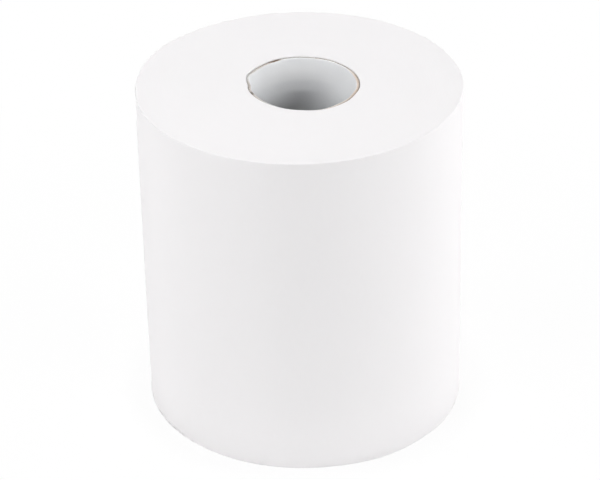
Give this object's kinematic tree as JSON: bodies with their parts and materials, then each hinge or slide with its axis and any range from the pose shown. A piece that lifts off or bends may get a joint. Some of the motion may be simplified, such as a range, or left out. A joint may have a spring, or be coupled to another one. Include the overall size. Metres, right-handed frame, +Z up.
{
  "type": "center pull paper towel roll",
  "caption": "Tall cylindrical roll of white paper towel wound on a paperboard core, drawn from its centre, standing on one end.",
  "frame": {"origin": "middle of the lower end face, on the core's axis, at the surface that the roll stands on", "axes": "+Z up along the core's axis; the tail of the web ends on the +Y side, 59 degrees from +X"},
  "size_m": [0.1865, 0.1888, 0.2],
  "materials": {
    "paper": "matte, soft crepe",
    "cardboard": "matte"
  },
  "bodies": {
    "root": {"paper_roll": "paper", "core_tube": "cardboard"}
  },
  "joints": []
}
